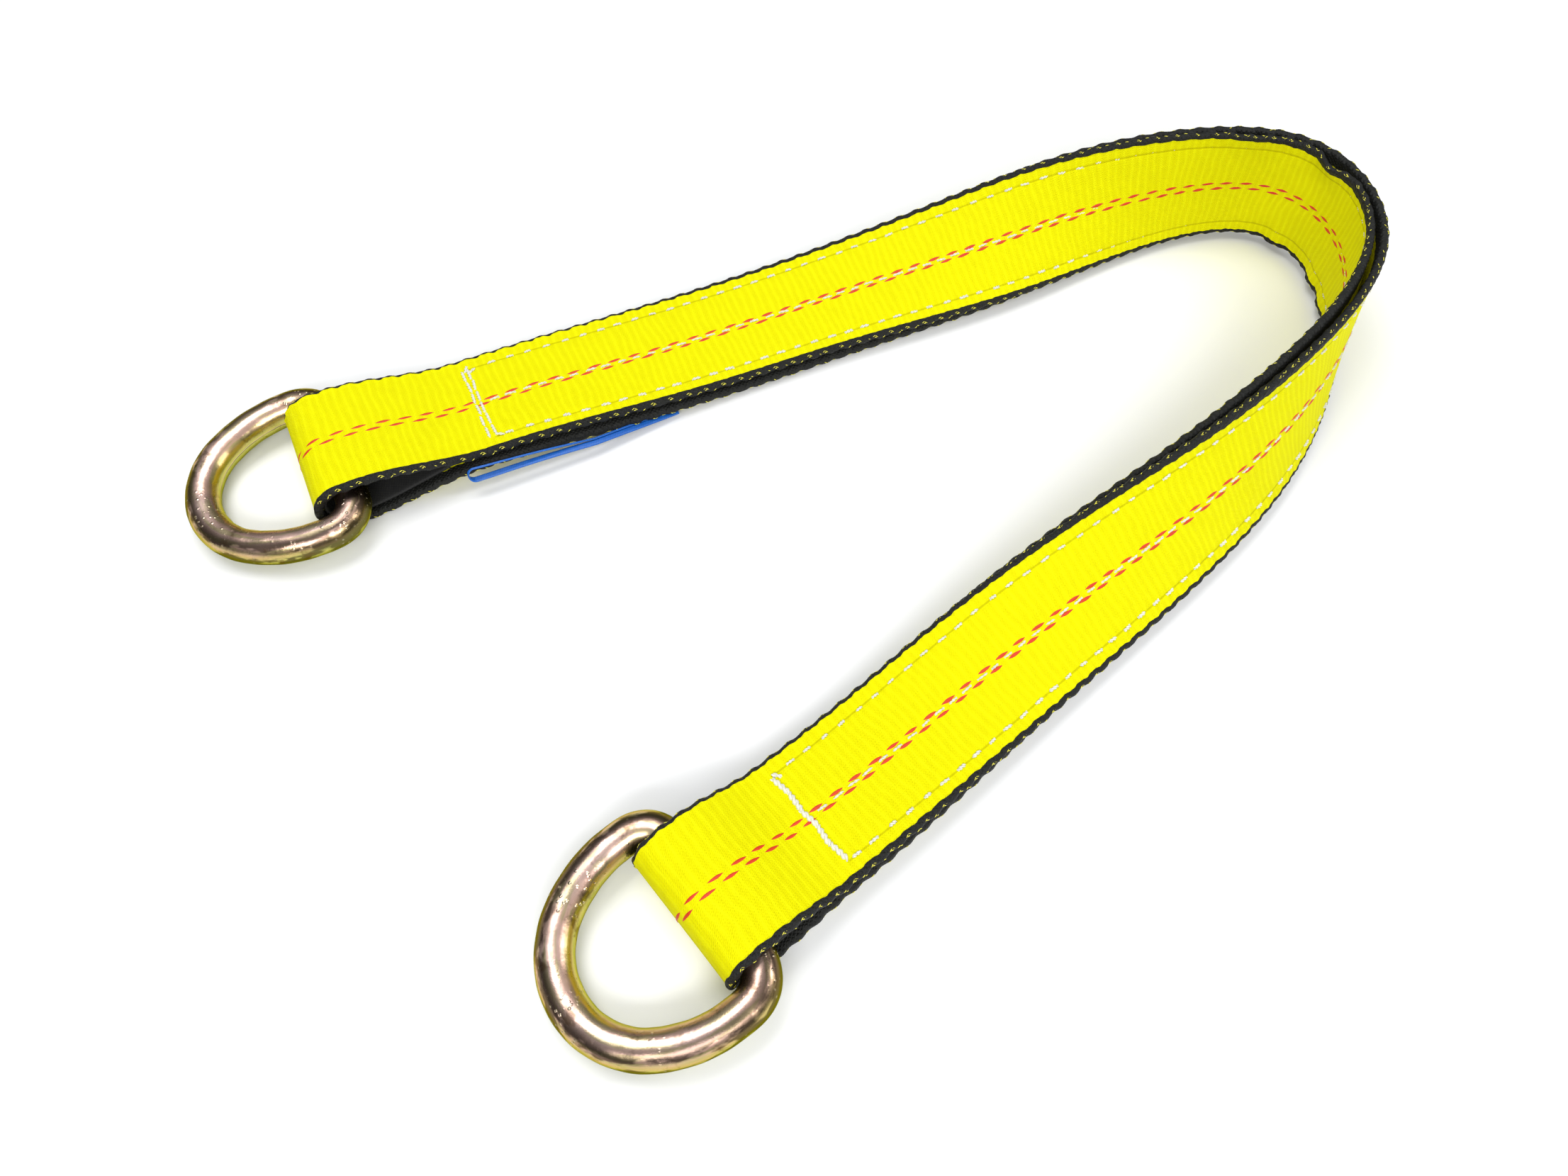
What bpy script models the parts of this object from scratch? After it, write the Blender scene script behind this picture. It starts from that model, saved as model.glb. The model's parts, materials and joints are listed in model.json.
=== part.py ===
"""Two-ply webbing strap with a steel D-ring held in a sewn, lined eye at each end.

The strap lies on a surface in a U: its far leg and near leg lie flat at the rings, and between
them the webbing stands on its long edge and turns half a turn round the bend.  Every length
below is in millimetres and is scaled to metres when the meshes are made.
"""
import math

import bmesh
import bpy
import numpy as np
from mathutils import Matrix, Vector

MM = 0.001

# The route of the strap's middle surface, from the bar of the far ring to the bar of the near
# ring: x, y, z and the lean of the width, where 0 lies flat and 90 stands on edge.
ROUTE = [
    (-168, 46, 11, 0),
    (-107, 77, 11, 0),
    (-46, 107, 8, 5),
    (15, 136, 9, 10),
    (78, 162, 16, 30),
    (139, 186, 24, 65),
    (207, 193, 28, 90),
    (228, 140, 28, 90),
    (193, 73, 26, 113),
    (144, 24, 21, 134),
    (89, -21, 13, 160),
    (37, -68, 9, 180),
    (-16, -115, 12, 180),
]
FAR_BEND_STATION = 6
NEAR_BEND_STATION = 7

# Webbing
WEB_HALF_WIDTH = 25.0
PLY = 3.0
PLY_GAP = 0.5
PLY_MIDDLE = (PLY + PLY_GAP) / 2
STRAP_FACE = PLY_MIDDLE + PLY / 2
ROW_STEP = 7.0
FLEX_GAP = 1.5

# D-ring: straight bar, two corners, two side arcs and the wide arc, all tangent
ROD_RADIUS = 6.35
CORNER_RADIUS = 10.5
CORNER_TURN = 85.0
SIDE_RADIUS = 45.0
SIDE_TURN = 40.0
CROWN_RADIUS = 29.5
# Where each ring has settled in its eye: shift along its bar, pull outward along the strap,
# and turn within the strap's plane
FAR_RING_SHIFT = -0.2
FAR_RING_PULL = 2.0
FAR_RING_YAW = -1.0
NEAR_RING_SHIFT = 0.0
NEAR_RING_PULL = 4.0
NEAR_RING_YAW = -2.0

# Sewn eyes: distances are measured inward along the strap from the bar of the ring
EYE_TIP = 5.0
FAR_EYE_FLEX = 50.0
NEAR_EYE_FLEX = 32.0
LINING = 1.5
LINING_HALF_WIDTH = 22.0
REST_GAP = 0.3
EYE_RADIUS = ROD_RADIUS + REST_GAP + LINING + REST_GAP + PLY / 2
EYE_STEPS = 9
TIP_STEPS = 12
BASE_LEVEL = ROUTE[0][2] - EYE_RADIUS - PLY / 2

# Stitching, drawn as thin strips that lie just clear of the face they are sewn through
CROSS_ROW_INSET = 3.0
SEAM_OFFSET = 19.0
THREAD_HALF_WIDTH = 0.6
THREAD = 0.5
THREAD_LEVEL = STRAP_FACE + REST_GAP + THREAD / 2

# Label folded into a hairpin beside the low edge of the far leg, its ends under the outer ply
LABEL_START = 46.0
LABEL_TUCK = 90.0
LABEL_END = 118.0
LABEL_HALF_WIDTH = 1.8
LABEL_THICKNESS = 0.5
LABEL_ACROSS = -27.2
LABEL_END_ACROSS = -24.4
LABEL_TOP_LEVEL = -0.9
LABEL_TUCKED_LEVEL = -3.9
LABEL_LOW_LEVEL = -4.9
LABEL_LOW_END_LEVEL = -4.7
FOLD_STEPS = 7

YELLOW = (0.85, 0.80, 0.01)
BLACK = (0.015, 0.016, 0.015)
ZINC = (0.62, 0.52, 0.34)
WHITE = (0.80, 0.80, 0.74)
BLUE = (0.03, 0.16, 0.45)


def natural_spline(points):
    """Return a function of the station number that gives the value and slope of a natural cubic."""
    values = np.array(points, dtype=float)
    count = len(values)
    system = np.eye(count)
    target = np.zeros_like(values)
    for i in range(1, count - 1):
        system[i, i - 1:i + 2] = (1.0, 4.0, 1.0)
        target[i] = 6.0 * (values[i + 1] - 2.0 * values[i] + values[i - 1])
    curvature = np.linalg.solve(system, target)

    def evaluate(station):
        i = int(min(max(math.floor(station), 0), count - 2))
        t = station - i
        r = 1.0 - t
        bend = ((r ** 3 - r) * curvature[i] + (t ** 3 - t) * curvature[i + 1]) / 6.0
        slope = ((1 - 3 * r * r) * curvature[i] + (3 * t * t - 1) * curvature[i + 1]) / 6.0
        return values[i] * r + values[i + 1] * t + bend, values[i + 1] - values[i] + slope

    return evaluate


route_at = natural_spline(ROUTE)
SAMPLES = np.linspace(0.0, len(ROUTE) - 1.0, 1201)
SAMPLE_POINTS = np.array([route_at(u)[0][:3] for u in SAMPLES])
SAMPLE_LENGTHS = np.concatenate(
    [[0.0], np.cumsum(np.linalg.norm(np.diff(SAMPLE_POINTS, axis=0), axis=1))])
STRAP_LENGTH = SAMPLE_LENGTHS[-1]


def length_at_station(station):
    """Length along the strap at a station of the route."""
    return float(np.interp(station, SAMPLES, SAMPLE_LENGTHS))


def strap_frame(s):
    """Centre, lengthwise, widthwise and face directions at length s, straight past the ends."""
    held = min(max(s, 0.0), STRAP_LENGTH)
    value, slope = route_at(float(np.interp(held, SAMPLE_LENGTHS, SAMPLES)))
    along = Vector(slope[:3]).normalized()
    level = Vector((-along.y, along.x, 0.0)).normalized()
    upward = along.cross(level)
    lean = math.radians(value[3])
    across = level * math.cos(lean) + upward * math.sin(lean)
    centre = Vector(value[:3]) + along * (s - held)
    return centre, along, across, along.cross(across)


def material(name, colour, roughness, metallic=0.0):
    """Make a Principled BSDF material."""
    made = bpy.data.materials.new(name)
    made.use_nodes = True
    shader = made.node_tree.nodes["Principled BSDF"]
    shader.inputs["Base Color"].default_value = (*colour, 1.0)
    shader.inputs["Roughness"].default_value = roughness
    shader.inputs["Metallic"].default_value = metallic
    return made


def pivot(name, location, parent, collection):
    """Make an empty at a joint, under the empty of the body that carries it."""
    empty = bpy.data.objects.new(name, None)
    empty.empty_display_size = 0.02
    collection.objects.link(empty)
    empty.parent = parent
    base = Vector(parent["layout"]) if parent else Vector((0.0, 0.0, 0.0))
    empty["layout"] = list(location)
    empty.location = (Vector(location) - base) * MM
    return empty


def band(name, rows, columns, thickness, skin, body, collection):
    """Loft a flat band of even thickness.

    Each row is (s, level, shift, lengthwise tilt) of its middle surface; the columns are its
    positions across the width.  Every cell is split along the same diagonal, so that bands lying
    on one another keep their distance where the strap twists.
    """
    base = Vector(body["layout"])
    form = bmesh.new()
    sections = []
    for s, level, shift, tilt in rows:
        centre, along, width, face = strap_frame(s)
        middle = centre + face * level - base
        half = (face * math.cos(tilt) - along * math.sin(tilt)) * (thickness / 2)
        top = [middle + width * (shift + across) + half for across in columns]
        bottom = [middle + width * (shift + across) - half for across in reversed(columns)]
        sections.append([form.verts.new(point * MM) for point in top + bottom])
    around = len(sections[0])
    for first, second in zip(sections, sections[1:]):
        for k in range(around):
            n = (k + 1) % around
            if k < len(columns) - 1 or k == around - 1:
                form.faces.new((first[k], second[k], second[n]))
                form.faces.new((first[k], second[n], first[n]))
            else:
                form.faces.new((first[k], second[k], first[n]))
                form.faces.new((second[k], second[n], first[n]))
    for section in (sections[0], sections[-1]):
        for k in range(len(columns) - 1):
            form.faces.new((section[k], section[k + 1], section[-2 - k], section[-1 - k]))
    bmesh.ops.recalc_face_normals(form, faces=form.faces)
    mesh = bpy.data.meshes.new(name)
    form.to_mesh(mesh)
    form.free()
    obj = bpy.data.objects.new(name, mesh)
    collection.objects.link(obj)
    obj.parent = body
    mesh.materials.append(skin)
    return obj


def even_columns(half_width, cells):
    """Positions across a band of the given half width."""
    return [half_width * (2 * k / cells - 1) for k in range(cells + 1)]


def stretch_grid(start, end):
    """Lengths along the strap at an even step."""
    count = max(2, math.ceil((end - start) / ROW_STEP) + 1)
    return [float(s) for s in np.linspace(start, end, count)]


def flat_rows(grid, level, shift=0.0):
    """Rows at one level off the middle surface."""
    return [(s, level, shift, 0.0) for s in grid]


def with_tilt(path):
    """Give each (s, level) point of a path the tilt of the path there."""
    points = np.array(path)
    slope = np.gradient(points, axis=0)
    tilts = np.arctan2(slope[:, 1], slope[:, 0])
    return [(float(s), float(level), float(tilt)) for (s, level), tilt in zip(points, tilts)]


def eye_profile(flex):
    """Middle of the eye's webbing as (inward, level): up one side, round the tip and back."""
    points = []
    for inward in np.linspace(flex - FLEX_GAP, 0.0, EYE_STEPS):
        rise = (flex - inward) / flex
        level = PLY_MIDDLE + (EYE_RADIUS - PLY_MIDDLE) * rise * rise * (3 - 2 * rise)
        points.append((inward, level))
    for turn in np.linspace(0.0, math.pi / 2, TIP_STEPS // 2 + 1):
        points.append((-EYE_TIP - EYE_RADIUS * math.sin(turn), EYE_RADIUS * math.cos(turn)))
    lower = [(inward, -level) for inward, level in reversed(points[:-1])]
    return points + lower


def inset_profile(profile, distance):
    """Move an eye profile inward by a distance, keeping only where its two sides stay apart."""
    path = np.array(profile)
    tangent = np.gradient(path, axis=0)
    tangent /= np.linalg.norm(tangent, axis=1)[:, None]
    normal = np.stack([tangent[:, 1], -tangent[:, 0]], axis=1)
    moved = path - normal * distance
    clear = LINING / 2 + REST_GAP
    return [(float(inward), float(level)) for inward, level in moved
            if inward < 0.0 or abs(level) > clear]


def ring_outline():
    """Centre line of the D-ring in its own plane: bar along X at Y = 0, crown towards +Y."""
    crown_turn = 180.0 - CORNER_TURN - SIDE_TURN
    x, y, heading = 0.0, 0.0, 0.0
    half = [(x, y)]
    for radius, turn, steps in ((CORNER_RADIUS, CORNER_TURN, 9), (SIDE_RADIUS, SIDE_TURN, 7),
                                (CROWN_RADIUS, crown_turn, 9)):
        centre_x = x - radius * math.sin(heading)
        centre_y = y + radius * math.cos(heading)
        for k in range(1, steps + 1):
            angle = heading + math.radians(turn) * k / steps
            half.append((centre_x + radius * math.sin(angle), centre_y - radius * math.cos(angle)))
        heading += math.radians(turn)
        x, y = half[-1]
    bar_half = -x
    right = [(px + bar_half, py) for px, py in half]
    left = [(-px, py) for px, py in reversed(right[:-1])]
    return right + left


def d_ring(name, bar, reach_axis, bar_axis, skin, body, collection):
    """Bend a round rod into the D, with its bar at the origin of its pivot."""
    outline = ring_outline()
    curve = bpy.data.curves.new(name, 'CURVE')
    curve.dimensions = '3D'
    curve.bevel_depth = ROD_RADIUS * MM
    curve.bevel_resolution = 4
    spline = curve.splines.new('POLY')
    spline.points.add(len(outline) - 1)
    for point, (x, y) in zip(spline.points, outline):
        point.co = (x * MM, y * MM, 0.0, 1.0)
    spline.use_cyclic_u = True
    curve.materials.append(skin)
    obj = bpy.data.objects.new(name, curve)
    collection.objects.link(obj)
    obj.parent = body
    rotation = Matrix((bar_axis, reach_axis, bar_axis.cross(reach_axis))).transposed()
    obj.rotation_euler = rotation.to_euler()
    return obj


def ring_place(side):
    """Middle of the bar, direction from the bar to the crown, and direction of the bar."""
    far = side == "far"
    centre, along, across, _ = strap_frame(0.0 if far else STRAP_LENGTH)
    if far:
        shift, pull, yaw = FAR_RING_SHIFT, FAR_RING_PULL, FAR_RING_YAW
    else:
        shift, pull, yaw = NEAR_RING_SHIFT, NEAR_RING_PULL, NEAR_RING_YAW
    outward = -along if far else along
    bar_axis = Vector((across.x, across.y, 0.0)).normalized()
    bar = centre + bar_axis * shift + outward * pull
    level = Vector((outward.x, outward.y, 0.0)).normalized()
    swing = Matrix.Rotation(math.radians(yaw), 3, 'Z')
    bar_axis = swing @ bar_axis
    level = swing @ level
    crown = max(y for _, y in ring_outline())
    drop = (bar.z - ROD_RADIUS - BASE_LEVEL - REST_GAP / 2) / crown
    reach_axis = level * math.sqrt(1.0 - drop * drop) - Vector((0.0, 0.0, drop))
    return bar, reach_axis.normalized(), bar_axis


def label_rows():
    """Rows of the label: upper layer, round fold at the ring end, and lower layer."""
    run = np.linspace(LABEL_END, LABEL_START, 13)
    path = [(s, float(np.interp(s, (LABEL_START, LABEL_TUCK),
                                (LABEL_TOP_LEVEL, LABEL_TUCKED_LEVEL)))) for s in run]
    radius = (LABEL_TOP_LEVEL - LABEL_LOW_LEVEL) / 2
    for turn in np.linspace(0.0, math.pi, FOLD_STEPS)[1:-1]:
        path.append((LABEL_START - radius * math.sin(turn),
                     LABEL_TOP_LEVEL - radius * (1 - math.cos(turn))))
    path += [(s, float(np.interp(s, (LABEL_START, LABEL_END),
                                 (LABEL_LOW_LEVEL, LABEL_LOW_END_LEVEL)))) for s in run[::-1]]
    return [(s, level, float(np.interp(s, (LABEL_TUCK, LABEL_END),
                                       (LABEL_ACROSS, LABEL_END_ACROSS))), tilt)
            for s, level, tilt in with_tilt(path)]


def make_end(side, leg, flex, webbing, lining, steel, collection):
    """Make one eye with its lining and D-ring; side is 'far' or 'near'."""
    far = side == "far"
    bar_length = 0.0 if far else STRAP_LENGTH

    def to_length(inward):
        return inward if far else STRAP_LENGTH - inward

    hinge, _, _, _ = strap_frame(to_length(flex))
    eye = pivot(side + "_eye_pivot", hinge, leg, collection)
    profile = eye_profile(flex)
    inset = inset_profile(profile, PLY / 2 + REST_GAP + LINING / 2)
    for layer, path, half_width, thickness, skin in (
            ("webbing", profile, WEB_HALF_WIDTH, PLY, webbing),
            ("lining", inset, LINING_HALF_WIDTH, LINING, lining)):
        path = [(to_length(inward), level) for inward, level in path]
        rows = [(s, level, 0.0, tilt) for s, level, tilt in with_tilt(path)]
        band(f"{side}_eye_{layer}", rows, even_columns(half_width, 2), thickness, skin, eye,
             collection)
    bar, reach_axis, bar_axis = ring_place(side)
    ring = pivot(side + "_ring_pivot", bar, eye, collection)
    d_ring(side + "_d_ring", bar, reach_axis, bar_axis, steel, ring, collection)


def make_stretch(stretch, start, end, face, body, webbing, thread, collection):
    """Make the two plies of one stretch of strap and its three lengthwise stitch rows."""
    grid = stretch_grid(start + FLEX_GAP, end - FLEX_GAP)
    columns = [-WEB_HALF_WIDTH, WEB_HALF_WIDTH]
    for seam in (-SEAM_OFFSET, 0.0, SEAM_OFFSET):
        columns += [seam - THREAD_HALF_WIDTH, seam + THREAD_HALF_WIDTH]
    columns.sort()
    for ply, level in (("inner", PLY_MIDDLE), ("outer", -PLY_MIDDLE)):
        band(f"{stretch}_{ply}_ply", flat_rows(grid, level), columns, PLY, webbing, body,
             collection)
    sewn = grid
    if stretch == "far_leg":
        sewn = grid[1:]
    if stretch == "near_leg":
        sewn = grid[:-1]
    thread_columns = [-THREAD_HALF_WIDTH, THREAD_HALF_WIDTH]
    for row, shift in (("top_edge", SEAM_OFFSET), ("centre", 0.0), ("low_edge", -SEAM_OFFSET)):
        band(f"{stretch}_{row}_stitching", flat_rows(sewn, face * THREAD_LEVEL, shift),
             thread_columns, THREAD, thread, body, collection)


def cross_row(name, s, face, body, thread, collection):
    """Make the stitch row across the strap where the eye begins."""
    rows = flat_rows([s - THREAD_HALF_WIDTH, s + THREAD_HALF_WIDTH], face * THREAD_LEVEL)
    band(name, rows, even_columns(SEAM_OFFSET, 4), THREAD, thread, body, collection)


def centre_on_base(root, collection):
    """Move the whole strap so that the middle of its base is the origin."""
    bpy.context.view_layer.update()
    graph = bpy.context.evaluated_depsgraph_get()
    low = np.full(3, np.inf)
    high = np.full(3, -np.inf)
    for obj in collection.objects:
        if obj.type == 'EMPTY':
            continue
        shape = obj.evaluated_get(graph)
        mesh = shape.to_mesh()
        points = np.array([obj.matrix_world @ vertex.co for vertex in mesh.vertices])
        low = np.minimum(low, points.min(axis=0))
        high = np.maximum(high, points.max(axis=0))
        shape.to_mesh_clear()
    middle = (low + high) / 2
    root.location -= Vector((middle[0], middle[1], low[2]))
    bpy.context.view_layer.update()


def build():
    """Build the strap."""
    for old in list(bpy.data.objects):
        bpy.data.objects.remove(old)
    collection = bpy.data.collections.new("d_ring_webbing_strap")
    bpy.context.scene.collection.children.link(collection)

    webbing = material("yellow_webbing", YELLOW, 0.75)
    lining = material("black_lining", BLACK, 0.85)
    steel = material("zinc_plated_steel", ZINC, 0.28, metallic=1.0)
    thread = material("white_thread", WHITE, 0.7)
    label = material("blue_label", BLUE, 0.4)

    far_bend = length_at_station(FAR_BEND_STATION)
    near_bend = length_at_station(NEAR_BEND_STATION)
    near_flex = STRAP_LENGTH - NEAR_EYE_FLEX
    root = pivot("strap_origin", (0.0, 0.0, 0.0), None, collection)
    bend = pivot("bend", (0.0, 0.0, 0.0), root, collection)
    far_leg = pivot("far_leg_pivot", strap_frame(far_bend)[0], bend, collection)
    near_leg = pivot("near_leg_pivot", strap_frame(near_bend)[0], bend, collection)

    for stretch, start, end, face, body in (
            ("far_leg", FAR_EYE_FLEX, far_bend, 1, far_leg),
            ("bend", far_bend, near_bend, 1, bend),
            ("near_leg", near_bend, near_flex, -1, near_leg)):
        make_stretch(stretch, start, end, face, body, webbing, thread, collection)
    cross_row("far_cross_stitching", FAR_EYE_FLEX + CROSS_ROW_INSET, 1, far_leg, thread,
              collection)
    cross_row("near_cross_stitching", near_flex - CROSS_ROW_INSET, -1, near_leg, thread,
              collection)
    band("identification_label", label_rows(), even_columns(LABEL_HALF_WIDTH, 2),
         LABEL_THICKNESS, label, far_leg, collection)
    make_end("far", far_leg, FAR_EYE_FLEX, webbing, lining, steel, collection)
    make_end("near", near_leg, NEAR_EYE_FLEX, webbing, lining, steel, collection)
    centre_on_base(root, collection)


build()
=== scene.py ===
import json
import math

import bpy
import numpy as np
from mathutils import Matrix, Vector


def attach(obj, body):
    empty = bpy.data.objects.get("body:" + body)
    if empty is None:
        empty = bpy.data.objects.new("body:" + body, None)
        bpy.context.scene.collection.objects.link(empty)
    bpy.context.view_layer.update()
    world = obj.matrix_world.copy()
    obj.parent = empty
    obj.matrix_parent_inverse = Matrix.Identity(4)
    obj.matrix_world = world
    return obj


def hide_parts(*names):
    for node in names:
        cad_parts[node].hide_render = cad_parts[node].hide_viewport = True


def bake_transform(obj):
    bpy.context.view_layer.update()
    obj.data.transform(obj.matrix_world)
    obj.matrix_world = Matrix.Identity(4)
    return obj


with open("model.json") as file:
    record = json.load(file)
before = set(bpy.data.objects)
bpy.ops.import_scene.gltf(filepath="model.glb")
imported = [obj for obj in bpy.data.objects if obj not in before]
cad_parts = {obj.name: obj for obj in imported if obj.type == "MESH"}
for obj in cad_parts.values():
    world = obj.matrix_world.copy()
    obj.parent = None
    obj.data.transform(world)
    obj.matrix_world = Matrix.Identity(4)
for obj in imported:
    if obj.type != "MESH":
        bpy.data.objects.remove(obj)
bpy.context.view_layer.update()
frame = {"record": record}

# Looks of a two-ply webbing strap with a D-ring in a lined eye at each end.
# Lengths are in millimetres along, across and off the strap, and metres in the meshes.
MM = 0.001
JOINTS = {joint["name"]: joint for joint in frame["record"]["behaviour"]["joints"]}

# Route of the strap's middle surface, bar to bar, as in the CAD: x, y, z and lean of the width.
ROUTE = np.array([
    (-168, 46, 11, 0),
    (-107, 77, 11, 0),
    (-46, 107, 8, 5),
    (15, 136, 9, 10),
    (78, 162, 16, 30),
    (139, 186, 24, 65),
    (207, 193, 28, 90),
    (228, 140, 28, 90),
    (193, 73, 26, 113),
    (144, 24, 21, 134),
    (89, -21, 13, 160),
    (37, -68, 9, 180),
    (-16, -115, 12, 180),
], dtype=float)
FAR_BEND_STATION = 6
NEAR_BEND_STATION = 7
FAR_EYE_FLEX = 50.0
NEAR_EYE_FLEX = 32.0

# Webbing
HALF_WIDTH = 25.0
PLY = 3.0
PLY_MIDDLE = 1.75
EYE_TIP = 5.0
EYE_RADIUS = 9.95
LINING = 1.5
LINING_INSET = 2.55
LINING_HALF_WIDTH = 22.0
LINING_STEP = 0.7
LINING_GAP = 0.25
ROW_STEP = 0.52
RIM_STEP = 0.02
RIB_PITCH = 3.2
RIB_HEIGHT = 0.045
SCALLOP_PITCH = 7.6
SCALLOP_INSET = 0.32
SCALLOP_DEPTH = 0.28
SELVEDGE = 2.8
SELVEDGE_RISE = 0.14
SELVEDGE_SWELL = 0.12
EDGE_ROUND = PLY / 2
FLOOR_GAP = 0.02

# Sewing
SEAM_OFFSET = 18.4
SEAM_PITCH = 7.6
CENTRE_PITCH = 6.5
FAR_CROSS = 53.4
NEAR_CROSS_INSET = 34.8
SINK_MIDDLE = 395.0
SINK_REACH = 80.0
SINK_DEPTH = 0.95
SEWN_MARGIN = 3.0
TRACER_PITCH = 8.4
TRACER_OFFSET = 1.25
FAR_CROSS_GAP = 1.15
FAR_CROSS_COUNT = 6
FAR_CROSS_PITCH = 6.1
NEAR_CROSS_COUNT = 5
NEAR_CROSS_PITCH = 7.0
NEAR_CROSS_TOP = 17.4

# Rows and columns of the meshes of thread
FLOAT_GRID = (13, 7)
SIDE_FLOAT_GRID = (7, 5)
STRAND_GRID = (11, 6)

# D-ring
ROD_RADIUS = 6.35
RING_ARCS = ((10.5, 85.0, 40), (45.0, 40.0, 40), (29.5, 55.0, 40))
RING_CLEARANCE = 0.15
RING_SKIN = 0.08
RING_STEPS = 420
RING_SIDES = 40
# Turn of the middle of the painted dark reflection on the rod: 0.25 is its top and 0.5 its outer side
DARK_REFLECTION_TURN = 0.42
RING_SHIFT = {"far": -0.2, "near": 0.0}
RING_PULL = {"far": 2.0, "near": 4.0}
RING_YAW = {"far": -1.0, "near": -2.0}

# Label, folded into a hairpin beside the far leg's low edge
LABEL_START = 42.0
LABEL_TUCK = 90.0
LABEL_END = 126.0
LABEL_HALF_WIDTH = 1.8
LABEL_TOP_HALF_WIDTH = 0.4
LABEL_LOW_HALF_WIDTH = 1.3
LABEL_THICKNESS = 0.6
LABEL_ACROSS = -27.0
LABEL_END_ACROSS = -23.4
LABEL_TOP_LEVEL = 0.5
LABEL_TUCKED_LEVEL = -3.9
LABEL_LOW_LEVEL = -4.5
LABEL_LOW_END_LEVEL = -4.7

# Lengths of strap where the pieces meet, in the middle of rigid bodies
FAR_CUT = 215.0
BEND_CUT = 437.0
NEAR_CUT = 640.0

# Places where a ply buckles away from the other: lane, run, across, reaches and lift
BUCKLES = (
    (1, 390.0, 27.0, 9.0, 9.0, 2.0),
    (1, 429.0, 28.0, 7.0, 9.0, 6.2),
    (1, 482.0, 31.0, 42.0, 10.0, 2.8),
    (1, 570.0, 30.0, 55.0, 9.0, 2.0),
    (-1, 560.0, 29.0, 80.0, 8.0, 1.2),
    (1, 418.0, -27.0, 4.5, 9.0, 2.2),
    (1, 448.0, -27.0, 4.5, 9.0, 1.9),
    (1, 463.0, -27.0, 4.0, 8.0, 1.5),
    (1, 690.0, -29.0, 75.0, 8.0, 2.2),
    (1, 794.0, -30.0, 42.0, 16.0, 4.0),
    (-1, 85.0, -29.0, 40.0, 8.0, 2.6),
    (-1, 220.0, -29.0, 95.0, 8.0, 1.6),
)

# Sideways slip of the outer ply towards the low edge, beside the label
SLIP = -1.5
SLIP_RISE = (10.0, 50.0)
SLIP_FALL = (150.0, 260.0)


# Camera: lens and sensor in mm, distance in mm, angles in degrees
SENSOR = 36.0
LENS = 26.11
CAMERA_DISTANCE = 416.6
CAMERA_ELEVATION = 59.2
CAMERA_TURN = 1.81

# Light: name, place and size in metres, and power in watts
LIGHTS = (
    ("overhead", (-0.30, 0.30, 1.1), (0.9, 0.6), 8.0),
    ("front", (0.05, -0.98, 0.85), (1.1, 0.35), 11.5),
    ("right", (1.0, 0.05, 0.7), (0.35, 0.8), 4.0),
)
# The world's brightness against the height of the direction, from level to straight up
WORLD_STOPS = ((0.0, 0.60), (0.12, 0.16), (0.45, 0.30), (0.9, 0.80))
WORLD_STRENGTH = 0.75
FLOOR_REACH = 3.0

# Cloth and thread: dark tone, light tone, roughness, pitch of the weave in metres and sheen
CLOTHS = {
    "black_lining": ((0.004, 0.004, 0.004), (0.022, 0.022, 0.021), 0.8, 0.0011, 0.0),
    "white_thread": ((0.54, 0.53, 0.45), (0.90, 0.89, 0.80), 0.55, 0.0004, 0.2),
    "red_tracer": ((0.50, 0.02, 0.0), (0.76, 0.055, 0.002), 0.55, 0.0004, 0.0),
    "yellow_fleck": ((0.62, 0.55, 0.03), (0.85, 0.80, 0.10), 0.5, 0.0004, 0.0),
    "blue_label": ((0.004, 0.07, 0.34), (0.015, 0.16, 0.60), 0.35, 0.0008, 0.0),
}


# ---- The strap's shape ----

def natural_spline(values):
    """Return values and slopes of a natural cubic through the values at 0, 1, 2 and so on."""
    count = len(values)
    system = np.eye(count)
    target = np.zeros_like(values)
    for i in range(1, count - 1):
        system[i, i - 1:i + 2] = (1.0, 4.0, 1.0)
        target[i] = 6.0 * (values[i + 1] - 2.0 * values[i] + values[i - 1])
    curvature = np.linalg.solve(system, target)

    def evaluate(station):
        i = np.clip(np.floor(station).astype(int), 0, count - 2)
        t = (station - i)[:, None]
        r = 1.0 - t
        value = (values[i] * r + values[i + 1] * t
                 + ((r ** 3 - r) * curvature[i] + (t ** 3 - t) * curvature[i + 1]) / 6.0)
        slope = (values[i + 1] - values[i]
                 + ((1 - 3 * r * r) * curvature[i] + (3 * t * t - 1) * curvature[i + 1]) / 6.0)
        return value, slope

    return evaluate


def unit(vectors):
    """Scale vectors to length one."""
    return vectors / np.linalg.norm(vectors, axis=-1, keepdims=True)


STATIONS = np.linspace(0.0, len(ROUTE) - 1.0, 6001)
ROUTE_VALUES, ROUTE_SLOPES = natural_spline(ROUTE)(STATIONS)
STEPS = np.linalg.norm(np.diff(ROUTE_VALUES[:, :3], axis=0), axis=1)
LENGTHS = np.concatenate([[0.0], np.cumsum(STEPS)])
STRAP = float(LENGTHS[-1])
ALONG = unit(ROUTE_SLOPES[:, :3])
LEVEL = unit(np.stack([-ALONG[:, 1], ALONG[:, 0], np.zeros(len(ALONG))], axis=1))
LEAN = np.radians(ROUTE_VALUES[:, 3])[:, None]
ACROSS = LEVEL * np.cos(LEAN) + np.cross(ALONG, LEVEL) * np.sin(LEAN)
FACE = np.cross(ALONG, ACROSS)
ORIGIN = np.array(JOINTS["far_leg_swing"]["pos_m"]) / MM - ROUTE[FAR_BEND_STATION, :3]


def at_length(table, s):
    """Look a table of vectors up at lengths along the strap."""
    held = np.clip(s, 0.0, STRAP)
    return np.stack([np.interp(held, LENGTHS, table[:, k]) for k in range(3)], axis=-1)


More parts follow.
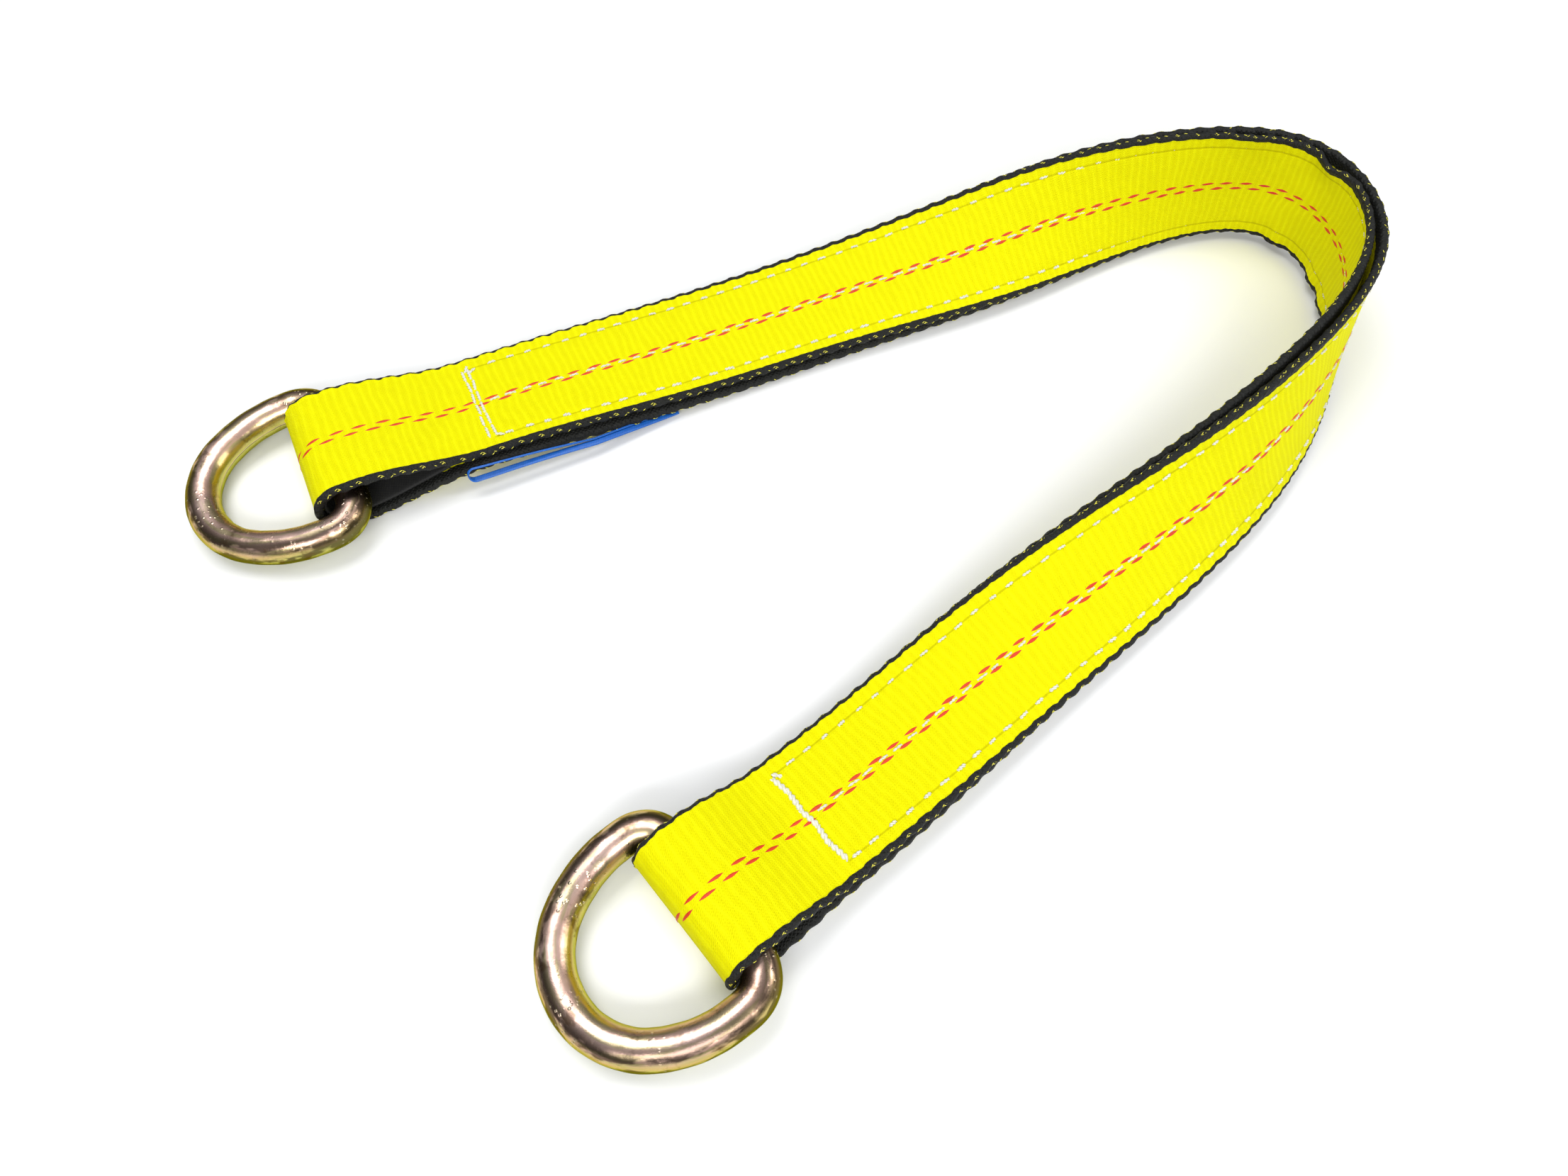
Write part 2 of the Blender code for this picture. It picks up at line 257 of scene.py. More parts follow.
def strap_frames(s):
    """Centres and directions at lengths s, going straight on past the ends."""
    along = at_length(ALONG, s)
    past = s - np.clip(s, 0.0, STRAP)
    centre = at_length(ROUTE_VALUES, s) + along * past[..., None] + ORIGIN
    return centre, along, at_length(ACROSS, s), at_length(FACE, s)


def station_length(station):
    """Length along the strap at a station of the route."""
    return float(np.interp(station, STATIONS, LENGTHS))


def eye_path(flex, steps):
    """Upper half of an eye as (inward, level), from the flex line out to the foremost point."""
    inward = np.linspace(flex, 0.0, steps)
    rise = (flex - inward) / flex
    level = PLY_MIDDLE + (EYE_RADIUS - PLY_MIDDLE) * rise * rise * (3 - 2 * rise)
    turn = np.linspace(0.0, math.pi / 2, steps // 2)
    tip = np.stack([-EYE_TIP - EYE_RADIUS * np.sin(turn), EYE_RADIUS * np.cos(turn)], axis=1)
    return np.concatenate([np.stack([inward, level], axis=1), tip])


def lane_table(side):
    """Follow one ply from the far tip to the near tip: run, s, level and tilt.

    The run is the length along the ply, equal to s wherever the plies lie together.
    """
    far = eye_path(FAR_EYE_FLEX, 240)[::-1]
    near = eye_path(NEAR_EYE_FLEX, 200)
    near[:, 0] = STRAP - near[:, 0]
    middle = np.linspace(FAR_EYE_FLEX + 1, STRAP - NEAR_EYE_FLEX - 1, 1500)
    flat = np.stack([middle, np.full(len(middle), PLY_MIDDLE)], axis=1)
    path = np.concatenate([far, flat, near])
    path[:, 1] *= side
    steps = np.linalg.norm(np.diff(path, axis=0), axis=1)
    run = np.concatenate([[0.0], np.cumsum(steps)])
    run += FAR_EYE_FLEX - run[len(far) - 1]
    tilt = np.unwrap(np.arctan2(np.gradient(path[:, 1]), np.gradient(path[:, 0])))
    return run, path[:, 0], path[:, 1], tilt


LANES = {1: lane_table(1), -1: lane_table(-1)}
FIRST_RUN = float(LANES[1][0][0])
LAST_RUN = float(LANES[1][0][-1])


def smooth_step(value, low, high):
    """Rise smoothly from 0 at low to 1 at high."""
    share = np.clip((value - low) / (high - low), 0.0, 1.0)
    return share * share * (3 - 2 * share)


def slip(run):
    """Sideways slip of the outer ply at each run."""
    return SLIP * smooth_step(run, *SLIP_RISE) * (1.0 - smooth_step(run, *SLIP_FALL))


def place(lane, run, across, height):
    """World points in metres; height is measured outward from the ply's middle surface."""
    run, across, height = np.broadcast_arrays(run, across, height)
    table_run, table_s, table_level, table_tilt = LANES[lane]
    s = np.interp(run, table_run, table_s)
    level = np.interp(run, table_run, table_level)
    tilt = np.interp(run, table_run, table_tilt)
    for side, centre_run, centre_across, reach, reach_across, lift in BUCKLES:
        if side == lane:
            level = level + lane * lift * np.exp(
                -((run - centre_run) / reach) ** 2 - ((across - centre_across) / reach_across) ** 2)
    centre, along, width, face = strap_frames(s)
    outward = lane * (face * np.cos(tilt)[..., None] - along * np.sin(tilt)[..., None])
    across = across + slip(run) if lane < 0 else across
    points = centre + face * level[..., None] + width * across[..., None] + outward * height[..., None]
    points[..., 2] = np.maximum(points[..., 2], FLOOR_GAP)
    return points * MM


# ---- Meshes ----

def mesh_object(name, points, faces, material, rims=(), attributes=None):
    """Make a smooth mesh object from arrays, with creased edges along the rims."""
    mesh = bpy.data.meshes.new(name)
    faces = [np.asarray(block) for block in faces if len(block)]
    sizes = np.concatenate([np.full(len(block), block.shape[1]) for block in faces])
    loops = np.concatenate([block.ravel() for block in faces])
    mesh.vertices.add(len(points))
    mesh.vertices.foreach_set("co", np.asarray(points, dtype=np.float32).ravel())
    mesh.loops.add(len(loops))
    mesh.loops.foreach_set("vertex_index", loops.astype(np.int32))
    mesh.polygons.add(len(sizes))
    starts = np.concatenate([[0], np.cumsum(sizes)[:-1]]).astype(np.int32)
    mesh.polygons.foreach_set("loop_start", starts)
    mesh.polygons.foreach_set("loop_total", sizes.astype(np.int32))
    mesh.polygons.foreach_set("use_smooth", np.full(len(sizes), True))
    mesh.update(calc_edges=True)
    mesh.validate()
    if len(rims):
        on_rim = np.zeros(len(points), dtype=bool)
        on_rim[np.concatenate(rims)] = True
        ends = np.zeros(2 * len(mesh.edges), dtype=np.int32)
        mesh.edges.foreach_get("vertices", ends)
        creased = on_rim[ends.reshape(-1, 2)].all(axis=1)
        layer = mesh.attributes.new("sharp_edge", 'BOOLEAN', 'EDGE')
        layer.data.foreach_set("value", creased)
    for key, values in (attributes or {}).items():
        layer = mesh.attributes.new(key, 'FLOAT', 'POINT')
        layer.data.foreach_set("value", np.asarray(values, dtype=np.float32).ravel())
    mesh.materials.append(material)
    obj = bpy.data.objects.new(name, mesh)
    bpy.context.scene.collection.objects.link(obj)
    return obj


def grid_faces(rows, columns, closed_rows=False, closed_columns=True):
    """Quads of a grid of rows by columns, wound so that they face out."""
    i = np.arange(rows if closed_rows else rows - 1)
    j = np.arange(columns if closed_columns else columns - 1)
    i, j = np.meshgrid(i, j, indexing="ij")
    i2 = (i + 1) % rows
    j2 = (j + 1) % columns
    quads = np.stack([i * columns + j, i * columns + j2, i2 * columns + j2, i2 * columns + j], -1)
    return quads.reshape(-1, 4)


def fan(centre, ring, flip):
    """Triangles from a centre point to a closed ring of points."""
    ring = np.asarray(ring)
    following = np.roll(ring, -1)
    pair = (following, ring) if flip else (ring, following)
    return np.stack([np.full(len(ring), centre), *pair], axis=1)


def close_ends(points, rows, count, flips):
    """Close both ends of a tube of points with fans, and return points, fans and rims."""
    caps = []
    rims = []
    for row, flip in zip((0, rows - 1), flips):
        ring_ids = np.arange(count) + row * count
        points = np.concatenate([points, points[ring_ids].mean(axis=0, keepdims=True)])
        caps.append(fan(len(points) - 1, ring_ids, flip))
        rims.append(ring_ids)
    return points, caps, rims


def end_cap(flip):
    """Triangles that close a ply's end, between its top and its underside in step with across."""
    top = np.flatnonzero(SECTION_SIGN > 0)
    under = np.flatnonzero(SECTION_SIGN < 0)[::-1]
    triangles = []
    i = 0
    j = 0
    while i < len(top) - 1 or j < len(under) - 1:
        next_top = SECTION_ACROSS[top[i + 1]] if i < len(top) - 1 else math.inf
        next_under = SECTION_ACROSS[under[j + 1]] if j < len(under) - 1 else math.inf
        if next_top <= next_under:
            triangles.append((top[i], top[i + 1], under[j]))
            i += 1
        else:
            triangles.append((top[i], under[j + 1], under[j]))
            j += 1
    triangles = np.array(triangles)
    return triangles[:, ::-1] if flip else triangles


def web_section():
    """Across positions and half heights of a ply: over its outward face and back underneath."""
    side = [25.0, 24.93, 24.7, 24.3, 23.8, 23.3, 22.9, 22.5, 22.2, 21.8, 21.0, 19.6, 18.9, 18.4,
            17.9, 17.2, 15.0, 12.0, 9.0, 6.0, 3.5, 2.0, 1.0]
    top = [-u for u in side] + [0.0] + side[::-1]
    under = [24.7, 24.3, 23.5, 22.2, 12.0, 0.0, -12.0, -22.2, -23.5, -24.3, -24.7]
    across = np.array(top + under)
    size = np.abs(across)
    centre = HALF_WIDTH - EDGE_ROUND
    round_off = np.sqrt(np.clip(1.0 - ((size - centre) / EDGE_ROUND) ** 2, 0.0, 1.0))
    height = np.where(size > centre, round_off, 1.0) * PLY / 2
    selvedge = np.clip((size - (HALF_WIDTH - SELVEDGE)) / 0.4, 0.0, 1.0)
    height = height - SELVEDGE_RISE * (1.0 - selvedge)
    sign = np.array([1.0] * len(top) + [-1.0] * len(under))
    return across, height * sign, sign


SECTION_ACROSS, SECTION_HEIGHT, SECTION_SIGN = web_section()


def wave(run, pitch, shift=0.0):
    """Sine wave along the strap."""
    return np.sin(2 * math.pi * (run / pitch + shift))


def scallop(lane, side, run):
    """Distance by which the wavy selvedge falls short of the full half width."""
    return SCALLOP_INSET + SCALLOP_DEPTH * wave(run, SCALLOP_PITCH, 0.17 * side + 0.3 * lane)


def unevenness(run, across):
    """Slow variation of the ribs' height, between 0.3 and 1."""
    return 0.65 + 0.35 * np.sin(run / 11.3 + 1.7 * np.sin(across / 6.1)) * np.cos(run / 29.0)


def web_rows(lane, run):
    """Points of a ply of webbing at each run: ribbed face, scalloped selvedges, sewn grooves."""
    run = run[:, None]
    size = np.abs(SECTION_ACROSS)[None, :]
    side = np.sign(SECTION_ACROSS)[None, :]
    edge = np.clip((size - (HALF_WIDTH - SELVEDGE)) / 1.0, 0.0, 1.0)
    field = 1.0 - np.clip((size - (HALF_WIDTH - SELVEDGE - 0.8)) / 0.8, 0.0, 1.0)
    across = SECTION_ACROSS[None, :] - side * edge * scallop(lane, side, run)
    drift = 0.5 * np.sin(SECTION_ACROSS[None, :] / 9.0 + run / 37.0)
    rib = 0.55 - np.abs(wave(run + drift, 2 * RIB_PITCH)) ** 0.8
    rib = rib * unevenness(run, SECTION_ACROSS[None, :])
    rope = wave(run, SCALLOP_PITCH / 2, 0.3 * size + 0.17 * side)
    height = SECTION_HEIGHT[None, :] + SECTION_SIGN[None, :] * (
        RIB_HEIGHT * rib * field + edge * (0.15 * rope + SELVEDGE_SWELL))
    sewn = (run > FAR_CROSS) & (run < STRAP - NEAR_CROSS_INSET)
    for seam, depth in ((SEAM_OFFSET, 0.34), (0.0, 0.16)):
        groove = np.exp(-((size - seam) / 0.5) ** 2) * (SECTION_SIGN[None, :] > 0)
        height = height - sewn * depth * groove * (0.7 + 0.3 * wave(run, SEAM_PITCH))
    return place(lane, run + 0.0 * across, across, height)


def web_piece(name, lanes, start, end, material):
    """Webbing from one run to another; with two lanes it goes round the eye's tip."""
    points = []
    runs = []
    step = math.copysign(RIM_STEP, end - start)
    run = np.linspace(start + step, end, int(abs(end - start) / ROW_STEP) + 1)
    run = np.concatenate([[start], run])
    if len(lanes) == 1:
        run = np.concatenate([run[:-1], [end - step, end]])
        points.append(web_rows(lanes[0], run))
        runs.append(run)
        flip = lanes[0] < 0
    else:
        points.append(web_rows(1, run))
        points.append(web_rows(-1, run)[::-1][1:])
        runs += [run, run[::-1][1:]]
        flip = end < start
    points = np.concatenate(points)
    run = np.concatenate(runs)
    rows, columns = points.shape[:2]
    quads = grid_faces(rows, columns)
    caps = []
    rims = []
    flat = points.reshape(-1, 3)
    run_values = np.repeat(run, columns)
    across_values = np.tile(SECTION_ACROSS, rows)
    for row, turned in ((0, True), (rows - 1, False)):
        ring_ids = np.arange(columns) + row * columns
        caps.append(end_cap(turned == flip) + row * columns)
        rims.append(ring_ids)
    quads = quads[:, ::-1] if not flip else quads
    under_values = np.tile((SECTION_SIGN < 0).astype(float), rows)
    attributes = {"run": run_values, "across": across_values, "under": under_values}
    return mesh_object(name, flat, [quads] + caps, material, rims=rims, attributes=attributes)


def floats(name, lane, items, material):
    """Lens-shaped thread floats: run, across, length, width, rise, slant and base of each."""
    items = np.asarray(items, dtype=float)
    rows, columns = FLOAT_GRID
    a = np.sin(np.linspace(-math.pi / 2, math.pi / 2, rows))
    b = np.linspace(-1.0, 1.0, columns)
    a, b = np.meshgrid(a, b, indexing="ij")
    run, across, length, width, rise, slant, base = (items[:, k, None, None] for k in range(7))
    swell = np.clip(1.0 - a * a, 0.0, 1.0) ** 1.1
    points_run = run + a * length / 2
    points_across = across + slant * a * length / 2 + b * width / 2 * swell
    height = base + rise * (1.0 - b * b) * np.sqrt(swell) - 0.12
    points = place(lane, points_run, points_across, height)
    quads = grid_faces(rows, columns, closed_columns=False)
    faces = (quads[None] + (np.arange(len(items)) * a.size)[:, None, None]).reshape(-1, 4)
    faces = faces if lane < 0 else faces[:, ::-1]
    return mesh_object(name, points.reshape(-1, 3), [faces], material)


def side_floats(name, lane, items, material):
    """Floats on the rounded side of a selvedge: run, side, angle, length, width, slant."""
    items = np.asarray(items, dtype=float)
    rows, columns = SIDE_FLOAT_GRID
    a = np.linspace(-1.0, 1.0, rows)
    b = np.linspace(-1.0, 1.0, columns)
    a, b = np.meshgrid(a, b, indexing="ij")
    run, side, angle, length, width, slant = (items[:, k, None, None] for k in range(6))
    swell = 1.0 - np.abs(a) ** 2.4
    turn = angle + slant * a + b * width / 2 * swell / EDGE_ROUND
    radius = EDGE_ROUND + 0.02 + 0.16 * (1.0 - b * b) * swell
    points_run = run + a * length / 2
    across = side * (HALF_WIDTH - EDGE_ROUND + radius * np.cos(turn) - scallop(lane, side, points_run))
    points = place(lane, points_run, across, radius * np.sin(turn))
    quads = grid_faces(rows, columns, closed_columns=False)
    faces = quads[None] + (np.arange(len(items)) * a.size)[:, None, None]
    outward = (items[:, 1] * lane > 0)[:, None, None]
    faces = np.where(outward, faces, faces[:, :, ::-1]).reshape(-1, 4)
    return mesh_object(name, points.reshape(-1, 3), [faces], material)


def stitches(name, lane, items, material):
    """Two-strand twisted stitches: run, across, length, heading, strand radius, turns, base."""
    items = np.asarray(items, dtype=float)
    rings, sides = STRAND_GRID
    t = np.linspace(0.0, 1.0, rings)
    around = np.linspace(0.0, 2 * math.pi, sides, endpoint=False)
    t, around = np.meshgrid(t, around, indexing="ij")
    count = t.size
    blocks = []
    faces = []
    first = 0
    run, across, length, heading, radius, turns, base = (items[:, k, None, None] for k in range(7))
    for strand in (0.0, math.pi):
        arch = np.sqrt(np.clip(1.0 - (2 * t - 1) ** 4, 0.0, 1.0))
        phase = 2 * math.pi * turns * t + strand + run
        thick = radius * (0.55 + 0.45 * arch)
        aside = 0.85 * radius * np.sin(phase) + thick * np.cos(around)
        height = (base - 0.45 + 0.62 * arch + 0.75 * radius * np.cos(phase)
                  + thick * np.sin(around))
        forward = (t - 0.5) * length
        points_run = run + forward * np.cos(heading) - aside * np.sin(heading)
        points_across = across + forward * np.sin(heading) + aside * np.cos(heading)
        blocks.append(place(lane, points_run, points_across, height).reshape(-1, 3))
        near_end = np.array([[0, 1, 2, 3], [0, 3, 4, 5]])
        far_end = np.array([[3, 2, 1, 0], [5, 4, 3, 0]]) + (rings - 1) * sides
        quads = np.concatenate([grid_faces(rings, sides), near_end, far_end])
        offsets = first + np.arange(len(items)) * count
        faces.append((quads[None] + offsets[:, None, None]).reshape(-1, 4))
        first += len(items) * count
    faces = np.concatenate(faces)
    faces = faces if lane < 0 else faces[:, ::-1]
    return mesh_object(name, np.concatenate(blocks), [faces], material)


# ---- Materials ----

class Nodes:
    """Short names for building a material's node tree."""

    def __init__(self, name):
        self.material = bpy.data.materials.new(name)
        self.material.use_nodes = True
        self.tree = self.material.node_tree
        self.shader = self.tree.nodes["Principled BSDF"]

    def add(self, kind, **settings):
        node = self.tree.nodes.new(kind)
        for key, value in settings.items():
            setattr(node, key, value)
        return node

    def join(self, value, socket):
        if isinstance(value, bpy.types.NodeSocket):
            self.tree.links.new(value, socket)
        else:
            socket.default_value = value

    def math(self, operation, *values):
        node = self.add("ShaderNodeMath", operation=operation)
        for value, socket in zip(values, node.inputs):
            self.join(value, socket)
        return node.outputs[0]

    def attribute(self, name):
        return self.add("ShaderNodeAttribute", attribute_name=name).outputs["Fac"]

    def noise(self, scale, detail=2.0, rough=0.5, vector=None):
        node = self.add("ShaderNodeTexNoise")
        node.inputs["Scale"].default_value = scale
        node.inputs["Detail"].default_value = detail
        node.inputs["Roughness"].default_value = rough
        if vector is None:
            vector = self.add("ShaderNodeTexCoord").outputs["Object"]
        self.join(vector, node.inputs["Vector"])
        return node.outputs["Fac"]

    def vector(self, x, y, z=0.0):
        node = self.add("ShaderNodeCombineXYZ")
        for value, socket in zip((x, y, z), node.inputs):
            self.join(value, socket)
        return node.outputs[0]

    def ramp(self, value, stops):
        node = self.add("ShaderNodeValToRGB")
        band = node.color_ramp
        while len(band.elements) < len(stops):
            band.elements.new(0.5)
        for element, (position, colour) in zip(band.elements, stops):
            element.position = position
            element.color = (*colour, 1.0)
        self.join(value, node.inputs[0])
        return node.outputs[0]

    def mix(self, share, first, second):
        node = self.add("ShaderNodeMix", data_type='RGBA')
        self.join(share, node.inputs[0])
        for value, socket in ((first, node.inputs[6]), (second, node.inputs[7])):
            if not isinstance(value, bpy.types.NodeSocket):
                value = (*value, 1.0)
            self.join(value, socket)
        return node.outputs[2]

    def sine(self, value, pitch, shift=0.0):
        """Wave between 0 and 1."""
        turned = self.math('MULTIPLY_ADD', value, 2 * math.pi / pitch, shift)
        return self.math('MULTIPLY_ADD', self.math('SINE', turned), 0.5, 0.5)

    def step(self, value, low, high):
        """Smooth step from 0 at low to 1 at high."""
        node = self.add("ShaderNodeMapRange", interpolation_type='SMOOTHSTEP')
        for entry, socket in zip((value, low, high, 0.0, 1.0), node.inputs):
            self.join(entry, socket)
        return node.outputs[0]

    def bump(self, height, distance, strength=1.0, onto=None):
        node = self.add("ShaderNodeBump")
        node.inputs["Strength"].default_value = strength
        node.inputs["Distance"].default_value = distance
        self.join(height, node.inputs["Height"])
        if onto is not None:
            self.join(onto, node.inputs["Normal"])
        return node.outputs[0]

    def finish(self, colour, roughness, normal=None, **fixed):
        self.join(colour, self.shader.inputs["Base Color"])
        self.join(roughness, self.shader.inputs["Roughness"])
        if normal is not None:
            self.join(normal, self.shader.inputs["Normal"])
        for key, value in fixed.items():
            self.shader.inputs[key.replace("_", " ")].default_value = value
        return self.material


def webbing_material():
    """Yellow ribbed weave with black selvedges."""
    n = Nodes("yellow_webbing")
    run = n.attribute("run")
    across = n.attribute("across")
    size = n.math('ABSOLUTE', across)
    place_2d = n.vector(run, across)
    weave = n.sine(n.math('MULTIPLY_ADD', across, 0.22, run), 0.52)
    warp = n.sine(n.math('MULTIPLY_ADD', run, 0.9, across), 0.85)
    wander = n.noise(0.05, 2.0, 0.5, place_2d)
    wandered = n.math('MULTIPLY_ADD', wander, 5.0, run)
    rib = n.math('ABSOLUTE', n.math('SINE', n.math('MULTIPLY', wandered, math.pi / RIB_PITCH)))
    dots = n.math('MULTIPLY', n.sine(across, 0.95), n.sine(run, RIB_PITCH / 3))
    blotch = n.noise(0.09, 3.0, 0.6, place_2d)
    streak = n.noise(1.0, 2.0, 0.5, n.vector(n.math('MULTIPLY', run, 1.7),
                                           n.math('MULTIPLY', across, 0.12)))
    # Painted highlight: the webbing is coloured lighter along the ridges of the ribs, mixed with
    # random streaks.
    ridge_highlight = n.math('SUBTRACT', 1.0, rib)
    tone = n.math('ADD', n.math('MULTIPLY', ridge_highlight, 0.5), n.math('MULTIPLY', streak, 0.6))
    yellow = n.ramp(tone, ((0.2, (0.71, 0.67, 0.0)), (0.5, (0.745, 0.72, 0.0)),
                           (0.85, (0.79, 0.775, 0.002))))
    yellow = n.mix(n.math('MULTIPLY', n.step(blotch, 0.4, 0.75), 0.3), yellow,
                   (0.68, 0.63, 0.0))
    # Painted shade: the sewn grooves of the seams 18.4 mm either side of the middle are coloured a
    # darker brown yellow.
    seam = n.math('ABSOLUTE', n.math('SUBTRACT', size, SEAM_OFFSET))
    groove_shade = n.math('SUBTRACT', 1.0, n.step(seam, 0.10, 0.55))
    sewn = n.math('MULTIPLY', n.step(run, FAR_CROSS, FAR_CROSS + 1.0),
                  n.math('SUBTRACT', 1.0, n.step(run, STRAP - NEAR_CROSS_INSET - 1.0,
                                                 STRAP - NEAR_CROSS_INSET)))
    groove_shade = n.math('MULTIPLY', groove_shade, sewn)
    yellow = n.mix(n.math('MULTIPLY', groove_shade, 0.5), yellow, (0.36, 0.30, 0.0))
    black = n.mix(n.noise(2.4, 2.0, 0.6, place_2d), (0.002, 0.002, 0.002), (0.013, 0.014, 0.011))
    border = n.math('MULTIPLY_ADD', n.sine(run, SCALLOP_PITCH), 0.4, HALF_WIDTH - SELVEDGE)
    border = n.math('MULTIPLY_ADD', n.sine(run, RIB_PITCH), 0.2, border)
    ends = n.math('ADD', n.math('SUBTRACT', 1.0, n.step(run, 90.0, 190.0)),
                  n.step(run, 650.0, 740.0))
    curled = n.math('MULTIPLY', ends, n.step(across, -1.0, 1.0))
    border = n.math('MULTIPLY_ADD', curled, 0.9, border)
    standing = n.math('MULTIPLY', n.step(run, 380.0, 450.0),
                      n.math('SUBTRACT', 1.0, n.step(run, 560.0, 660.0)))
    standing = n.math('MULTIPLY', standing, n.step(across, -1.0, 1.0))
    border = n.math('MULTIPLY_ADD', standing, -1.3, border)
    # Painted shade: on the underside, which faces the other ply, the black reaches 2.2 mm further in,
    # so that the gap between the plies looks dark.
    border = n.math('MULTIPLY_ADD', n.attribute("under"), -2.2, border)
    edge = n.step(n.math('SUBTRACT', size, border), -0.06, 0.06)
    colour = n.mix(edge, yellow, black)
    roughness = n.math('MULTIPLY_ADD', edge, -0.1, 0.72)
    fine = n.math('MULTIPLY_ADD', dots, 0.8, n.math('MULTIPLY', weave, warp))
    fuzz = n.noise(9.0, 2.0, 0.6, place_2d)
    knit = n.math('MULTIPLY', n.sine(n.math('MULTIPLY_ADD', size, 1.2, run), 1.9),
                  n.sine(n.math('MULTIPLY_ADD', size, -1.2, run), 1.9))
    relief = n.math('MULTIPLY_ADD', edge, n.math('MULTIPLY', knit, 2.6), fine)
    normal = n.bump(fuzz, 0.00006, 0.6)
    normal = n.bump(relief, 0.00012, 0.9, onto=normal)
    n.join(n.math('MULTIPLY_ADD', edge, 0.25, 0.06), n.shader.inputs["Specular IOR Level"])
    return n.finish(colour, roughness, normal)


def zinc_material():
    """Yellow zinc plating: gold and green casts over satin steel with pits and stains, with a painted
    pink highlight along the rod's top and a painted dark reflection on its outer side.
    """
    n = Nodes("yellow_zinc_plate")
    turn = n.attribute("turn")
    reach = n.attribute("reach")
    cloud = n.noise(34.0, 3.0, 0.55)
    # Painted highlight: the colour turns lighter and pinker towards the rod's top and a duller green
    # gold towards its underside, mixed with random cloud.
    above = n.sine(turn, 1.0)
    highlight_and_cloud = n.math('ADD', n.math('MULTIPLY', above, 0.75), n.math('MULTIPLY', cloud, 0.38))
    film_with_painted_light = n.ramp(highlight_and_cloud, ((0.38, (0.46, 0.46, 0.10)), (0.62, (0.55, 0.50, 0.14)),
                         (0.76, (0.60, 0.42, 0.18)), (0.88, (0.74, 0.48, 0.38)),
                         (1.0, (0.80, 0.58, 0.52))))
    green = n.step(n.noise(22.0, 2.0, 0.5, n.vector(n.math('MULTIPLY', reach, 0.6), turn)),
                   0.46, 0.62)
    film_with_painted_light = n.mix(n.math('MULTIPLY', green, 0.45), film_with_painted_light, (0.36, 0.40, 0.10))
    # Painted reflection: a broken, nearly black band along the rod's outer side, at a fixed turn round
    # the rod.
    dark_reflection_shift = math.pi / 2 - 2 * math.pi * DARK_REFLECTION_TURN
    dark_reflection = n.step(n.sine(turn, 1.0, dark_reflection_shift), 0.62, 0.92)
    dark_reflection_pieces = n.step(n.noise(6.0, 3.0, 0.6, n.vector(n.math('MULTIPLY', reach, 2.4), turn)),
                   0.40, 0.50)
    film_with_painted_light = n.mix(n.math('MULTIPLY', n.math('MULTIPLY', dark_reflection, dark_reflection_pieces), 0.8), film_with_painted_light,
                 (0.045, 0.030, 0.018))
    stain = n.step(n.noise(75.0, 4.0, 0.72), 0.55, 0.66)
    film_with_painted_light = n.mix(n.math('MULTIPLY', stain, 0.6), film_with_painted_light, (0.13, 0.07, 0.03))
    base = n.add("ShaderNodeTexCoord").outputs["Object"]
    pits = n.add("ShaderNodeTexVoronoi", feature='F1')
    pits.inputs["Scale"].default_value = 480.0
    n.join(base, pits.inputs["Vector"])
    spots = n.math('SUBTRACT', 1.0, n.step(pits.outputs["Distance"], 0.05, 0.30))
    worn = n.step(n.noise(45.0, 2.0, 0.5), 0.48, 0.62)
    film_with_painted_light = n.mix(n.math('MULTIPLY', n.math('MULTIPLY', spots, worn), 0.6), film_with_painted_light,
                 (0.85, 0.74, 0.55))
    roughness = n.math('MULTIPLY_ADD', n.noise(120.0, 3.0, 0.6), 0.22, 0.17)
    normal = n.bump(n.noise(150.0, 4.0, 0.6), 0.0004, 0.4)
    normal = n.bump(n.math('MULTIPLY', spots, worn), 0.00025, 0.6, onto=normal)
    n.shader.inputs["Specular Tint"].default_value = (0.62, 0.60, 0.22, 1.0)
    return n.finish(film_with_painted_light, roughness, normal, Metallic=1.0)


def cloth_material(name, dark, light, roughness, pitch, sheen):
    """Plain woven cloth or thread."""
    n = Nodes(name)
    base = n.add("ShaderNodeTexCoord").outputs["Object"]
    parts = n.add("ShaderNodeSeparateXYZ")
    n.join(base, parts.inputs[0])
    x, y, z = parts.outputs
    first = n.sine(n.math('ADD', x, n.math('MULTIPLY', z, 0.7)), pitch)
    second = n.sine(n.math('ADD', y, n.math('MULTIPLY', z, 0.7)), pitch)
    weave = n.math('MULTIPLY', first, second)
    tone = n.math('ADD', n.math('MULTIPLY', weave, 0.4), n.math('MULTIPLY', n.noise(700.0), 0.6))
    colour = n.mix(tone, dark, light)
    normal = n.bump(tone, 0.0001, 0.6)
    return n.finish(colour, roughness, normal, Sheen_Weight=sheen)


# ---- Parts of the strap ----

def eye_inset(flex, distance, tip_to):
    """Lining's middle line: the eye path moved inward, where its two sides stay apart."""
    half = eye_path(flex, 240)
    path = np.concatenate([half, half[::-1][1:] * (1.0, -1.0)])
    tangent = unit(np.gradient(path, axis=0))
    moved = path - np.stack([tangent[:, 1], -tangent[:, 0]], axis=1) * distance
    keep = (moved[:, 0] < 0.0) | (np.abs(moved[:, 1]) > tip_to)
    return moved[keep]


